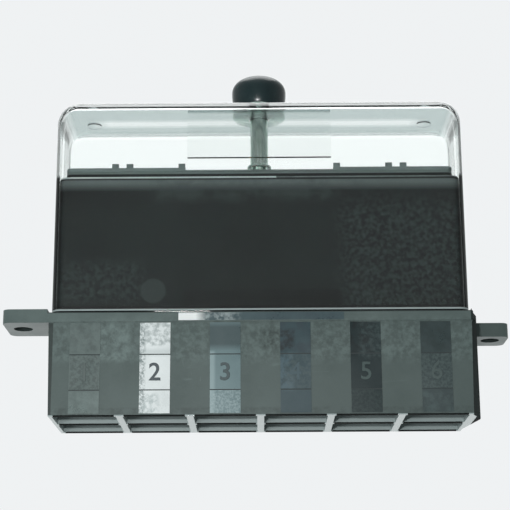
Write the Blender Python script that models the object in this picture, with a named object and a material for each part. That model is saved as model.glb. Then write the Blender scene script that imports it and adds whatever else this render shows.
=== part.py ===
"""Six-way cartridge fuse holder: base, fuse carrier, clear cover with its thumb screw, terminals and fuses.

Frame: +X along the row of fuses, +Z up, front face towards -Y. The origin is on the underside of the base,
at the middle of its length and depth. Sizes are written in millimetres and turned into metres by MM.
"""

import math

import bmesh
import bpy

MM = 0.001

# Driving dimensions, in millimetres.
WAYS = 6
PITCH = 20.0
BODY_HALF_X = 60.0
BODY_HALF_Y = 15.2
BODY_DRAFT = 0.6
RIM_HALF_X = 61.1
RIM_HALF_Y = 15.5
RIM_LOW = 27.2
RIM_TOP = 30.0
WALL = 1.5
SEPARATOR = 2.0
DECK_LOW = 22.0
DECK_TOP = 26.0
FIT = 0.3
ROUND = 24

# Mounting ears: one at the front on the left, one at the back on the right.
EAR_REACH = 74.0
EAR_HOLE_X = 69.0
EAR_HOLE_R = 2.75
EAR_CORNER = 2.2
EAR_STEP_X = 61.0
EARS = {
    "left": {"side": -1, "low": 27.0, "top": 31.0, "front": -RIM_HALF_Y, "back": 2.0, "hole_y": -7.25},
    "right": {"side": 1, "low": 26.2, "top": 30.4, "front": 2.6, "back": RIM_HALF_Y, "hole_y": 8.0},
}

# Coupling rail on the right side: a shallow wedge in plan.
RAIL_PROUD = 3.0
RAIL_FRONT_Y = -14.2
RAIL_PEAK_Y = -6.4
RAIL_BACK_Y = 11.0
RAIL_TOP = 31.0
CROWN_X = 60.8

# Fuse carrier.
CARRIER_HALF_X = 59.2
CARRIER_HALF_Y = 12.0
CARRIER_LOW = 26.3
CARRIER_SHOULDER = 72.2
SHOULDER_ROUND = 1.2
CARRIER_CORNER = 2.5
LIP_HALF_X = 57.5
LIP_HALF_Y = 10.0
LIP_TOP = 75.4
LIP_CORNER = 1.8
NOTCH_HALF_X = 22.0
NOTCH_LOW = 74.7
NUB_POSITIONS = (23.1, 38.6, 42.9)
NUB_HALF_X = 1.0
NUB_HEIGHT = 1.3
CELL_HALF_X = 8.8
CELL_HALF_Y = 9.0
CELL_LIMIT_X = 55.7
FLOOR_LOW = 31.0
FLOOR_TOP = 33.1
BOSS_R = 4.4
BOSS_TOP = 74.4
INSERT_POCKET_R = 3.4
HOOK_HALF_X = 3.0
HOOK_POSITIONS = (-50.0, 50.0)
HOOK_Y = 10.1
HOOK_THICK = 1.2
HOOK_LOW = 20.4
BARB_TOP = 21.6
BARB_OUT = 0.6

# Clear cover.
COVER_HALF_X = 60.4
COVER_HALF_Y = 13.3
COVER_LOW = 30.3
COVER_TOP = 95.6
COVER_WALL = 0.9
COVER_ROOF = 1.85
COVER_CORNER = 3.0
COVER_END_ROUND = 6.5
COVER_EDGE_ROUND = 2.2
STEM_HOLE_R = 3.2
WEB_HALF_X = 21.4
WEB_Y = -10.2
WEB_THICK = 1.2
WEB_LOW = 78.4
PAD_X = 50.9
PAD_Y = 2.8
PAD_R = 2.2
PAD_PROUD = 0.7

# Thumb screw: M5 x 0.8 thread below the stop flange, plain shank above it.
STEM_R = 2.7
FLANGE_R = 3.65
FLANGE_LOW = 78.1
FLANGE_TOP = 78.9
THREAD_R = 2.4
THREAD_LOW = 66.0
STEM_TOP = 104.0
INSERT_R = 3.3
INSERT_BORE_R = 2.6
INSERT_LOW = 63.4
INSERT_TOP = 74.6
WASHER_R = 8.0
WASHER_LOW = 95.7
WASHER_TOP = 97.3
KNOB_LOW = 97.4
KNOB_TOP = 107.7
KNOB_R = 8.3
KNOB_FOOT_R = 7.3
KNOB_WAIST = 102.6
KNOB_FULLNESS = 0.84
KNOB_SOCKET_R = 2.85
KNOB_SOCKET_TOP = 104.3

# Blade terminals, 6.3 mm x 0.8 mm.
BLADE_HALF_X = 3.15
BLADE_THICK = 0.8
BLADE_Y = 3.8
TAB_Y = 7.2
TAB_LOW = 11.0
JOG_LOW = 27.2
JOG_TOP = 29.6
BLADE_TOP = 45.0
SLOT_CLEARANCE = 0.4

# Cartridge fuses.
FUSE_HALF_X = 5.25
FUSE_HALF_Y = 7.9
FUSE_LOW = 33.4
FUSE_TOP = 66.0
FUSE_WALL = 1.2
FUSE_CORNER = 1.4
WINDOW_LOW = 61.0
WINDOW_TOP = 67.4
ELEMENT_HALF_X = 3.2
ELEMENT_LOW = 33.9
CLIP_OUT = 1.15
CLIP_GAP = 0.6
CLIP_TOP = 46.6
BRIDGE_THICK = 0.9
BRIDGE_TOP = 58.0

POSITIONS = [PITCH * (i - (WAYS - 1) / 2) for i in range(WAYS)]
ROWS = (("front", -1), ("rear", 1))


# Scene and materials

def clear_scene():
    for obj in list(bpy.data.objects):
        bpy.data.objects.remove(obj, do_unlink=True)


def material(name, color, roughness, metallic=0.0, alpha=1.0):
    made = bpy.data.materials.new(name)
    made.use_nodes = True
    shader = made.node_tree.nodes["Principled BSDF"]
    shader.inputs["Base Color"].default_value = (*color, 1.0)
    shader.inputs["Roughness"].default_value = roughness
    shader.inputs["Metallic"].default_value = metallic
    shader.inputs["Alpha"].default_value = alpha
    made.diffuse_color = (*color, alpha)
    return made


def place(name, bm, surface=None, location=(0.0, 0.0, 0.0), smooth=False):
    """Turns a bmesh in millimetres into an object in metres, whose origin is at location (millimetres)."""
    bmesh.ops.translate(bm, vec=[-v for v in location], verts=bm.verts)
    bmesh.ops.scale(bm, vec=(MM, MM, MM), verts=bm.verts)
    bmesh.ops.recalc_face_normals(bm, faces=bm.faces)
    mesh = bpy.data.meshes.new(name)
    bm.to_mesh(mesh)
    bm.free()
    if smooth:
        mesh.shade_smooth()
        mesh.set_sharp_from_angle(angle=math.radians(35))
    if surface is not None:
        mesh.materials.append(surface)
    obj = bpy.data.objects.new(name, mesh)
    obj.location = [v * MM for v in location]
    bpy.context.scene.collection.objects.link(obj)
    return obj


def helper(name, bm):
    """An object that only shapes others through Booleans."""
    obj = place(name, bm)
    obj.hide_render = True
    obj.display_type = "WIRE"
    return obj


def boolean(obj, other, operation):
    modifier = obj.modifiers.new(other.name, "BOOLEAN")
    modifier.operation = operation
    modifier.solver = "EXACT"
    modifier.object = other


# Shapes, as bmesh in millimetres

def add_box(bm, low, high):
    """A box from corner to corner, added to bm as its own closed body."""
    corners = [bm.verts.new((x, y, z)) for z in (low[2], high[2]) for y in (low[1], high[1])
               for x in (low[0], high[0])]
    for face in ((0, 2, 3, 1), (4, 5, 7, 6), (0, 1, 5, 4), (2, 6, 7, 3), (0, 4, 6, 2), (1, 3, 7, 5)):
        bm.faces.new([corners[i] for i in face])


def add_loft(bm, rings, closed=False):
    """Skins rings of equal length. The ends are capped, or with closed the last ring joins the first."""
    levels = [[bm.verts.new(p) for p in ring] for ring in rings]
    pairs = list(zip(levels, levels[1:]))
    if closed:
        pairs.append((levels[-1], levels[0]))
    for below, above in pairs:
        for i in range(len(below)):
            j = (i + 1) % len(below)
            bm.faces.new((below[i], below[j], above[j], above[i]))
    if not closed:
        bm.faces.new(list(reversed(levels[0])))
        bm.faces.new(levels[-1])


def add_cylinder(bm, centre, radius, low, high, segments=ROUND):
    rings = [[(x, y, z) for x, y in circle(radius, segments, centre)] for z in (low, high)]
    add_loft(bm, rings)


def circle(radius, segments=ROUND, centre=(0.0, 0.0)):
    angles = [2 * math.pi * i / segments for i in range(segments)]
    return [(centre[0] + radius * math.cos(a), centre[1] + radius * math.sin(a)) for a in angles]


def rounded_rectangle(half_x, half_y, radius, steps=4):
    """Outline points, anticlockwise from +X, with steps segments on each corner."""
    points = []
    for corner in range(4):
        sign_x = (1, -1, -1, 1)[corner]
        sign_y = (1, 1, -1, -1)[corner]
        for step in range(steps + 1):
            angle = math.pi / 2 * (corner + step / steps)
            points.append((sign_x * (half_x - radius) + radius * math.cos(angle),
                           sign_y * (half_y - radius) + radius * math.sin(angle)))
    return points


def level(outline, z):
    return [(x, y, z) for x, y in outline]


def turned(profile, segments=ROUND):
    """A body of revolution about Z from (radius, height) points: from axis to axis, or a closed loop."""
    bm = bmesh.new()
    rows = []
    for radius, z in profile:
        ring = circle(radius, segments) if radius > 0 else [(0.0, 0.0)]
        rows.append([bm.verts.new((x, y, z)) for x, y in ring])
    pairs = list(zip(rows, rows[1:]))
    if len(rows[0]) > 1 and len(rows[-1]) > 1:
        pairs.append((rows[-1], rows[0]))
    for a, b in pairs:
        for i in range(segments):
            j = (i + 1) % segments
            first = [a[i], a[j]] if len(a) > 1 else a
            second = [b[j], b[i]] if len(b) > 1 else b
            bm.faces.new(first + second)
    return bm


def prism_along_x(profile, half_width, x=0.0):
    """A closed profile in Y and Z, extruded both ways along X."""
    bm = bmesh.new()
    add_loft(bm, [[(x + side * half_width, y, z) for y, z in profile] for side in (-1, 1)])
    return bm


def domed_ring(half_x, half_y, corner, top, end_round, edge_round, z):
    """The outline at height z of a box with a rounded top: end_round at its ends, edge_round at its sides."""
    def inset(radius):
        up = max(0.0, z - (top - radius))
        return radius - math.sqrt(max(0.0, radius ** 2 - up ** 2))
    return level(rounded_rectangle(half_x - inset(end_round), half_y - inset(edge_round), corner), z)


# Base

def compartments():
    """Low and high corners of the twelve pockets, open at the underside."""
    depth = (2 * BODY_HALF_Y - 3 * WALL) / 2
    for x in POSITIONS:
        for _, side in ROWS:
            near = side * WALL / 2
            far = near + side * depth
            yield ((x - (PITCH - SEPARATOR) / 2, min(near, far), -1.0),
                   (x + (PITCH - SEPARATOR) / 2, max(near, far), DECK_LOW))


def ear_outline(side, front, back):
    """The plan of one ear: square where it joins the rim, rounded at its free corners."""
    root, centre_x = RIM_HALF_X - 2.0, EAR_REACH - EAR_CORNER
    points = [(side * root, front)]
    for centre_y, start in ((front + EAR_CORNER, -90), (back - EAR_CORNER, 0)):
        for step in range(5):
            angle = math.radians(start + 22.5 * step)
            points.append((side * (centre_x + EAR_CORNER * math.cos(angle)),
                           centre_y + EAR_CORNER * math.sin(angle)))
    points.append((side * root, back))
    return points


def ear(name, size):
    """One ear, stepped down to the rim's top where the clear cover stands beside it."""
    bm = bmesh.new()
    outline = ear_outline(size["side"], size["front"], size["back"])
    add_loft(bm, [level(outline, z) for z in (size["low"], size["top"])])
    made = helper(f"ear_{name}", bm)
    bm = bmesh.new()
    add_box(bm, (-EAR_STEP_X, -2 * RIM_HALF_Y, RIM_TOP), (EAR_STEP_X, 2 * RIM_HALF_Y, RIM_TOP + 5))
    boolean(made, helper(f"ear_{name}_step_cutter", bm), "DIFFERENCE")
    return made


def base_housing(surface):
    bm = bmesh.new()
    add_loft(bm, [[(x * half_x, y * BODY_HALF_Y, z) for x, y in ((-1, -1), (1, -1), (1, 1), (-1, 1))]
                  for z, half_x in ((0.0, BODY_HALF_X), (RIM_LOW + 1.0, BODY_HALF_X + BODY_DRAFT))])
    base = place("base_housing", bm, surface)

    bm = bmesh.new()
    add_loft(bm, [level(rounded_rectangle(RIM_HALF_X, RIM_HALF_Y, 0.8, 2), z) for z in (RIM_LOW, RIM_TOP)])
    boolean(base, helper("rim_flange", bm), "UNION")
    for name, size in EARS.items():
        boolean(base, ear(name, size), "UNION")
    bm = bmesh.new()
    inner, peak = BODY_HALF_X - 1.0, BODY_HALF_X + RAIL_PROUD
    rail = ((inner, RAIL_FRONT_Y), (BODY_HALF_X, RAIL_FRONT_Y), (peak, RAIL_PEAK_Y - 0.6),
            (peak, RAIL_PEAK_Y + 0.6), (BODY_HALF_X, RAIL_BACK_Y), (inner, RAIL_BACK_Y))
    add_loft(bm, [level(rail, z) for z in (0.0, RIM_TOP - 0.5)])
    boolean(base, helper("coupling_rail", bm), "UNION")
    bm = bmesh.new()
    crowns = [((CROWN_X, RAIL_FRONT_Y + 0.4), (out, RAIL_PEAK_Y - 0.6), (out, RAIL_PEAK_Y + 0.6),
               (CROWN_X, RAIL_BACK_Y - 0.8)) for out in (peak, peak, peak - 1.0)]
    add_loft(bm, [level(c, z) for c, z in zip(crowns, (RIM_TOP - 1.5, RAIL_TOP - 0.8, RAIL_TOP))])
    boolean(base, helper("coupling_rail_crown", bm), "UNION")

    bm = bmesh.new()
    for low, high in compartments():
        add_box(bm, low, high)
    boolean(base, helper("compartment_cutter", bm), "DIFFERENCE")
    bm = bmesh.new()
    seat = rounded_rectangle(CARRIER_HALF_X + FIT, CARRIER_HALF_Y + FIT, CARRIER_CORNER, 4)
    add_loft(bm, [level(seat, z) for z in (DECK_TOP, RAIL_TOP + 1.0)])
    boolean(base, helper("carrier_seat_cutter", bm), "DIFFERENCE")
    bm = bmesh.new()
    for size in EARS.values():
        hole = (size["side"] * EAR_HOLE_X, size["hole_y"])
        add_cylinder(bm, hole, EAR_HOLE_R, size["low"] - 1, size["top"] + 1)
    for x in POSITIONS:
        for _, side in ROWS:
            half = BLADE_THICK / 2 + SLOT_CLEARANCE
            add_box(bm, (x - BLADE_HALF_X - SLOT_CLEARANCE, side * TAB_Y - half, DECK_LOW - 1),
                    (x + BLADE_HALF_X + SLOT_CLEARANCE, side * TAB_Y + half, DECK_TOP + 1))
    for x in HOOK_POSITIONS:
        for _, side in ROWS:
            near = side * (HOOK_Y - HOOK_THICK / 2 - FIT)
            far = side * (HOOK_Y + HOOK_THICK / 2 + BARB_OUT + FIT)
            add_box(bm, (x - HOOK_HALF_X - FIT, min(near, far), DECK_LOW - 1),
                    (x + HOOK_HALF_X + FIT, max(near, far), DECK_TOP + 1))
    boolean(base, helper("hole_cutter", bm), "DIFFERENCE")
    return base


# Fuse carrier

def fuse_carrier(surface):
    bm = bmesh.new()
    body = rounded_rectangle(CARRIER_HALF_X, CARRIER_HALF_Y, CARRIER_CORNER)
    lip = rounded_rectangle(LIP_HALF_X, LIP_HALF_Y, LIP_CORNER)
    rings = [level(body, CARRIER_LOW)]
    for angle in (0, 30, 60, 90):
        inset = SHOULDER_ROUND * (1 - math.cos(math.radians(angle)))
        rise = SHOULDER_ROUND * math.sin(math.radians(angle))
        eased = rounded_rectangle(CARRIER_HALF_X - inset, CARRIER_HALF_Y - inset, CARRIER_CORNER - inset)
        rings.append(level(eased, CARRIER_SHOULDER - SHOULDER_ROUND + rise))
    add_loft(bm, rings + [level(lip, CARRIER_SHOULDER), level(lip, LIP_TOP)])
    carrier = place("fuse_carrier", bm, surface)

    bm = bmesh.new()
    for x in POSITIONS:
        low_x = max(x - CELL_HALF_X, -CELL_LIMIT_X)
        high_x = min(x + CELL_HALF_X, CELL_LIMIT_X)
        add_box(bm, (low_x, -CELL_HALF_Y, FLOOR_TOP), (high_x, CELL_HALF_Y, LIP_TOP + 1))
    boolean(carrier, helper("cell_cutter", bm), "DIFFERENCE")
    bm = bmesh.new()
    add_box(bm, (-CELL_LIMIT_X, -CELL_HALF_Y, CARRIER_LOW - 1), (CELL_LIMIT_X, CELL_HALF_Y, FLOOR_LOW))
    boolean(carrier, helper("underside_cutter", bm), "DIFFERENCE")
    bm = bmesh.new()
    for x in POSITIONS:
        for _, side in ROWS:
            half = BLADE_THICK / 2 + SLOT_CLEARANCE
            add_box(bm, (x - BLADE_HALF_X - SLOT_CLEARANCE, side * BLADE_Y - half, FLOOR_LOW - 0.5),
                    (x + BLADE_HALF_X + SLOT_CLEARANCE, side * BLADE_Y + half, FLOOR_TOP + 0.5))
    boolean(carrier, helper("blade_slot_cutter", bm), "DIFFERENCE")
    bm = bmesh.new()
    add_box(bm, (-NOTCH_HALF_X, -LIP_HALF_Y - 1, NOTCH_LOW), (NOTCH_HALF_X, LIP_HALF_Y + 1, LIP_TOP + 1))
    boolean(carrier, helper("notch_cutter", bm), "DIFFERENCE")

    bm = bmesh.new()
    add_cylinder(bm, (0, 0), BOSS_R, FLOOR_LOW + 0.5, BOSS_TOP)
    boolean(carrier, helper("centre_boss", bm), "UNION")
    bm = bmesh.new()
    add_cylinder(bm, (0, 0), INSERT_POCKET_R, INSERT_LOW - FIT, BOSS_TOP + 1)
    boolean(carrier, helper("insert_cutter", bm), "DIFFERENCE")

    bm = bmesh.new()
    for x in NUB_POSITIONS:
        for sign in (-1, 1):
            for _, side in ROWS:
                middle = side * (LIP_HALF_Y + CELL_HALF_Y) / 2
                half = (LIP_HALF_Y - CELL_HALF_Y) / 2 - 0.05
                add_box(bm, (sign * x - NUB_HALF_X, middle - half, LIP_TOP - 0.5),
                        (sign * x + NUB_HALF_X, middle + half, LIP_TOP + NUB_HEIGHT))
    for x in HOOK_POSITIONS:
        for _, side in ROWS:
            profile = [(side * y, z) for y, z in (
                (HOOK_Y - HOOK_THICK / 2, HOOK_LOW),
                (HOOK_Y + HOOK_THICK / 2, HOOK_LOW),
                (HOOK_Y + HOOK_THICK / 2 + BARB_OUT, BARB_TOP - 0.4),
                (HOOK_Y + HOOK_THICK / 2 + BARB_OUT, BARB_TOP),
                (HOOK_Y + HOOK_THICK / 2, BARB_TOP),
                (HOOK_Y + HOOK_THICK / 2, CARRIER_LOW + 2),
                (HOOK_Y - HOOK_THICK / 2, CARRIER_LOW + 2))]
            add_loft(bm, [[(x + end * HOOK_HALF_X, y, z) for y, z in profile] for end in (-1, 1)])
    boolean(carrier, helper("nubs_and_hooks", bm), "UNION")
    return carrier


# Clear cover

def clear_cover(surface):
    outer = (COVER_HALF_X, COVER_HALF_Y, COVER_CORNER, COVER_TOP, COVER_END_ROUND, COVER_EDGE_ROUND)
    inner = (COVER_HALF_X - COVER_WALL, COVER_HALF_Y - COVER_WALL, COVER_CORNER - COVER_WALL,
             COVER_TOP - COVER_ROOF, COVER_END_ROUND - COVER_WALL, COVER_EDGE_ROUND - COVER_WALL)

    def heights(top, end_round, edge_round):
        found = [top - end_round * (1 - math.sin(math.radians(a))) for a in (0, 18, 36, 54)]
        found += [top - edge_round * (1 - math.sin(math.radians(a))) for a in (30, 50, 70, 90)]
        return sorted(found)

    bm = bmesh.new()
    rings = [domed_ring(*outer, z) for z in [COVER_LOW, *heights(*outer[3:])]]
    rings += [domed_ring(*inner, z) for z in reversed([COVER_LOW, *heights(*inner[3:])])]
    levels = [[bm.verts.new(p) for p in ring] for ring in rings]
    ceiling = len(rings) // 2
    for k, (below, above) in enumerate(zip(levels, levels[1:] + levels[:1])):
        if k == ceiling - 1:
            bm.faces.new(below)
            bm.faces.new(list(reversed(above)))
            continue
        for i in range(len(below)):
            j = (i + 1) % len(below)
            bm.faces.new((below[i], below[j], above[j], above[i]))
    cover = place("clear_cover", bm, surface, smooth=True)

    bm = bmesh.new()
    under = COVER_TOP - COVER_ROOF
    add_box(bm, (-WEB_HALF_X, WEB_Y - WEB_THICK / 2, WEB_LOW),
            (WEB_HALF_X, WEB_Y + WEB_THICK / 2, under + 0.5))
    for side in (-1, 1):
        add_cylinder(bm, (side * PAD_X, PAD_Y), PAD_R, under - PAD_PROUD, under + 0.5, 12)
    boolean(cover, helper("web_and_pads", bm), "UNION")
    bm = bmesh.new()
    add_cylinder(bm, (0, 0), STEM_HOLE_R, under - 2, COVER_TOP + 2)
    boolean(cover, helper("stem_hole_cutter", bm), "DIFFERENCE")
    return cover


# Thumb screw

def thumb_knob(surface):
    """The knob's dome, hollow underneath where it is moulded round the stem's head."""
    profile = [(0.0, KNOB_SOCKET_TOP), (KNOB_SOCKET_R, KNOB_SOCKET_TOP), (KNOB_SOCKET_R, KNOB_LOW),
               (KNOB_FOOT_R, KNOB_LOW), (KNOB_R - 0.55, KNOB_LOW + 0.8), (KNOB_R - 0.2, KNOB_LOW + 2.8)]
    steps = 9
    for step in range(steps):
        angle = math.pi / 2 * step / steps
        out, up = math.cos(angle) ** KNOB_FULLNESS, math.sin(angle) ** KNOB_FULLNESS
        profile.append((KNOB_R * out, KNOB_WAIST + (KNOB_TOP - KNOB_WAIST) * up))
    profile.append((0.0, KNOB_TOP))
    return place("thumb_knob", turned(profile), surface, (0, 0, KNOB_LOW), smooth=True)


def knob_stem(surface):
    profile = [(0.0, THREAD_LOW), (THREAD_R - 0.5, THREAD_LOW), (THREAD_R, THREAD_LOW + 0.6),
               (THREAD_R, FLANGE_LOW), (FLANGE_R, FLANGE_LOW), (FLANGE_R, FLANGE_TOP), (STEM_R, FLANGE_TOP),
               (STEM_R, STEM_TOP), (0.0, STEM_TOP)]
    return place("knob_stem", turned(profile), surface, (0, 0, FLANGE_TOP), smooth=True)


def knob_washer(surface):
    hole = STEM_R + 0.4
    profile = [(hole, WASHER_LOW), (WASHER_R, WASHER_LOW), (WASHER_R, WASHER_TOP), (hole, WASHER_TOP)]
    return place("knob_washer", turned(profile), surface, (0, 0, WASHER_LOW), smooth=True)


def brass_insert(surface):
    """The insert pressed into the carrier's boss, with a groove round its middle that keys it in place."""
    middle = (INSERT_LOW + INSERT_TOP) / 2
    profile = [(INSERT_BORE_R, INSERT_LOW), (INSERT_R, INSERT_LOW), (INSERT_R, middle - 0.9),
               (INSERT_R - 0.35, middle - 0.6), (INSERT_R - 0.35, middle + 0.6), (INSERT_R, middle + 0.9),
               (INSERT_R, INSERT_TOP), (INSERT_BORE_R, INSERT_TOP)]
    return place("brass_insert", turned(profile), surface, (0, 0, INSERT_LOW), smooth=True)


# Blade terminals

def terminals(surface):
    """Each is one strip: a tab in the cable opening, a jog above the deck, and a blade in the fuse's clip."""
    centres = ((TAB_Y, TAB_LOW), (TAB_Y, JOG_LOW), (BLADE_Y, JOG_TOP), (BLADE_Y, BLADE_TOP))
    half = BLADE_THICK / 2
    outer = [(y + half, z) for y, z in centres[:2]] + [(y + half, z + 0.3) for y, z in centres[2:3]]
    outer += [(BLADE_Y + half, BLADE_TOP - 0.8), (BLADE_Y + half * 0.4, BLADE_TOP)]
    inner = [(BLADE_Y - half * 0.4, BLADE_TOP), (BLADE_Y - half, BLADE_TOP - 0.8),
             (BLADE_Y - half, JOG_TOP - 0.3), (TAB_Y - half, JOG_LOW - 0.3), (TAB_Y - half, TAB_LOW)]
    for row, side in ROWS:
        profile = [(side * y, z) for y, z in outer + inner]
        for number, x in enumerate(POSITIONS, 1):
            place(f"terminal_{row}_{number}", prism_along_x(profile, BLADE_HALF_X, x), surface,
                  (x, side * TAB_Y, TAB_LOW))


# Fuses

def fuse_body_shape():
    """A thin-walled box, open below for the contacts and above for the clear cap."""
    outer = rounded_rectangle(FUSE_HALF_X, FUSE_HALF_Y, FUSE_CORNER, 3)
    inner = rounded_rectangle(FUSE_HALF_X - FUSE_WALL, FUSE_HALF_Y - FUSE_WALL, FUSE_CORNER / 2, 3)
    bm = bmesh.new()
    add_loft(bm, [level(outer, FUSE_LOW), level(outer, FUSE_TOP), level(inner, FUSE_TOP),
                  level(inner, FUSE_LOW)], closed=True)
    return bm


def fuse_window_shape():
    """The clear cap: a plug inside the body with a thin head over its rim."""
    play = FUSE_WALL + 0.15
    plug = rounded_rectangle(FUSE_HALF_X - play, FUSE_HALF_Y - play, FUSE_CORNER / 2, 3)
    head = rounded_rectangle(FUSE_HALF_X - 0.1, FUSE_HALF_Y - 0.1, FUSE_CORNER, 3)
    eased = rounded_rectangle(FUSE_HALF_X - 0.5, FUSE_HALF_Y - 0.5, FUSE_CORNER - 0.3, 3)
    rim = FUSE_TOP + 0.15
    bm = bmesh.new()
    add_loft(bm, [level(plug, WINDOW_LOW), level(plug, rim), level(head, rim), level(head, WINDOW_TOP - 0.4),
                  level(eased, WINDOW_TOP)])
    return bm


def fuse_element_shape():
    """Two spring clips that grip the blades, joined by an arch of the same sheet."""
    top_inside = BRIDGE_TOP - BRIDGE_THICK
    out, slot = BLADE_Y + CLIP_OUT, BLADE_Y + CLIP_GAP
    near_slot, near = BLADE_Y - CLIP_GAP, BLADE_Y - CLIP_OUT
    arch_out = BLADE_Y + BRIDGE_THICK / 2
    arch_in = BLADE_Y - BRIDGE_THICK / 2
    slot_top, waist = CLIP_TOP - 0.8, CLIP_TOP + 1.0
    half = [(near, ELEMENT_LOW), (near_slot, ELEMENT_LOW), (near_slot, slot_top), (slot, slot_top),
            (slot, ELEMENT_LOW), (out, ELEMENT_LOW), (out, CLIP_TOP), (arch_out, waist),
            (arch_out, BRIDGE_TOP - 0.8), (arch_out - 0.8, BRIDGE_TOP)]
    inner = [(arch_in - 0.4, top_inside), (arch_in, top_inside - 0.4), (arch_in, waist), (near, CLIP_TOP)]
    right = half + [(-y, z) for y, z in reversed(half)]
    left = [(-y, z) for y, z in reversed(inner)] + inner
    return prism_along_x(right + left, ELEMENT_HALF_X)


def fuses(plastics, clear, metal):
    """Six identical fuses. Each position's three pieces share their meshes with the other positions."""
    kinds = {"fuse_body": (fuse_body_shape, plastics), "fuse_window": (fuse_window_shape, clear),
             "fuse_element": (fuse_element_shape, metal)}
    for name, (shape, surface) in kinds.items():
        obj = place(f"{name}_1", shape(), surface)
        obj.location.x = POSITIONS[0] * MM
        for number, x in enumerate(POSITIONS[1:], 2):
            copy = bpy.data.objects.new(f"{name}_{number}", obj.data)
            copy.location.x = x * MM
            bpy.context.scene.collection.objects.link(copy)


def main():
    clear_scene()
    base_housing(material("base_plastic", (0.10, 0.13, 0.13), 0.5))
    fuse_carrier(material("carrier_plastic", (0.025, 0.03, 0.03), 0.35))
    clear_cover(material("clear_plastic", (0.9, 0.95, 0.94), 0.05, alpha=0.2))
    thumb_knob(material("knob_plastic", (0.02, 0.025, 0.025), 0.2))
    zinc = material("zinc_plate", (0.62, 0.66, 0.60), 0.3, metallic=1.0)
    knob_stem(zinc)
    knob_washer(zinc)
    brass_insert(material("brass", (0.75, 0.55, 0.22), 0.3, metallic=1.0))
    tin = material("tinned_copper", (0.75, 0.73, 0.68), 0.35, metallic=1.0)
    terminals(tin)
    fuse_red = material("fuse_plastic", (0.62, 0.10, 0.12), 0.4)
    fuse_clear = material("fuse_clear", (0.9, 0.9, 0.9), 0.1, alpha=0.3)
    fuses(fuse_red, fuse_clear, tin)


main()
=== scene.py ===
"""Looks of the six-way cartridge fuse holder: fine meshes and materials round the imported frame.

The frame: +X along the fuse positions, +Z up, the numbered front face towards -Y, metres.
The object's sizes come from the frame's boxes or are written in millimetres, and MM turns them into metres.
"""

import math

import bmesh
import bpy
from mathutils import Matrix, Vector

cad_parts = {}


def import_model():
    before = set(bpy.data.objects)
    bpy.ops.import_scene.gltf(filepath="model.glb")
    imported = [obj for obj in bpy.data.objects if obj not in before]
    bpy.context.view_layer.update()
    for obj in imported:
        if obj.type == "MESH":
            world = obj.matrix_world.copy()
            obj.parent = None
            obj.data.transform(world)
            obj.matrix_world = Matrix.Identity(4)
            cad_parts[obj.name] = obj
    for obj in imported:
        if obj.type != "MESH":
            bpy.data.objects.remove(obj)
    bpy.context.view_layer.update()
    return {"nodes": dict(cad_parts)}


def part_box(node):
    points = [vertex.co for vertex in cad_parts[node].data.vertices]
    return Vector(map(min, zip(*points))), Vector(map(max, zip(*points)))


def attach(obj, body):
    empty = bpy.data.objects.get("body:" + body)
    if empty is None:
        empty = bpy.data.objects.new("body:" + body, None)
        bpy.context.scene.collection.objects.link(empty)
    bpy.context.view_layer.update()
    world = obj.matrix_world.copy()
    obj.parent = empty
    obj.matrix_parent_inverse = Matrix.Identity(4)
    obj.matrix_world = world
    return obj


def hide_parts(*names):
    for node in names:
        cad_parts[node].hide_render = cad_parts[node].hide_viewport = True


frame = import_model()

MM = 0.001
WAYS = 6
PITCH = 20 * MM
POSITIONS = [PITCH * (i - (WAYS - 1) / 2) for i in range(WAYS)]
NUMBERS = range(1, WAYS + 1)
FRAME_NODES = frame["nodes"]


# Meshes

SAME_POINT = 0.002 * MM
FLAT_ANGLE = math.radians(0.6)
SHARP_EDGE = math.radians(28)
TURNED_STEPS = 96
CORNER_STEPS = 10


def new_object(name, mesh, body, material, replaced=()):
    """Links a piece, gives it its material and slot, and makes it ride on its body."""
    mesh.materials.clear()
    mesh.materials.append(material)
    obj = bpy.data.objects.new(name, mesh)
    bpy.context.scene.collection.objects.link(obj)
    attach(obj, body)
    if replaced:
        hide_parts(*replaced)
    return obj


def smooth(mesh, sharp_angle):
    """Shades the mesh smooth, except at edges over sharp_angle degrees."""
    mesh.shade_smooth()
    mesh.set_sharp_from_angle(angle=math.radians(sharp_angle))


def finish_mesh(name, bm, sharp_angle=40):
    """The finished mesh, shaded smooth except at edges over sharp_angle degrees."""
    bmesh.ops.recalc_face_normals(bm, faces=bm.faces)
    mesh = bpy.data.meshes.new(name)
    bm.to_mesh(mesh)
    bm.free()
    smooth(mesh, sharp_angle)
    return mesh


def weighted_normals(obj):
    """Keeps large flat faces flat beside their rounded edges."""
    modifier = obj.modifiers.new("flat_faces", "WEIGHTED_NORMAL")
    modifier.keep_sharp = True
    modifier.weight = 80


def frame_bmesh(node):
    """The node's solid as clean polygons: triangles of one plane joined."""
    bm = bmesh.new()
    bm.from_mesh(FRAME_NODES[node].data)
    bmesh.ops.remove_doubles(bm, verts=bm.verts, dist=SAME_POINT)
    bmesh.ops.dissolve_limit(bm, angle_limit=FLAT_ANGLE, verts=bm.verts, edges=bm.edges)
    return bm


def ease_edges(bm, width, segments=2):
    """Rounds every sharp edge by width."""
    sharp = [e for e in bm.edges if len(e.link_faces) == 2 and e.calc_face_angle(0.0) > SHARP_EDGE]
    bmesh.ops.bevel(bm, geom=sharp, offset=width, offset_type="OFFSET", segments=segments, profile=0.5,
                    affect="EDGES", clamp_overlap=True)


def circle(radius, steps, centre=(0.0, 0.0)):
    """The (x, y) points of a circle."""
    angles = [2 * math.pi * i / steps for i in range(steps)]
    return [(centre[0] + radius * math.cos(a), centre[1] + radius * math.sin(a)) for a in angles]


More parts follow.
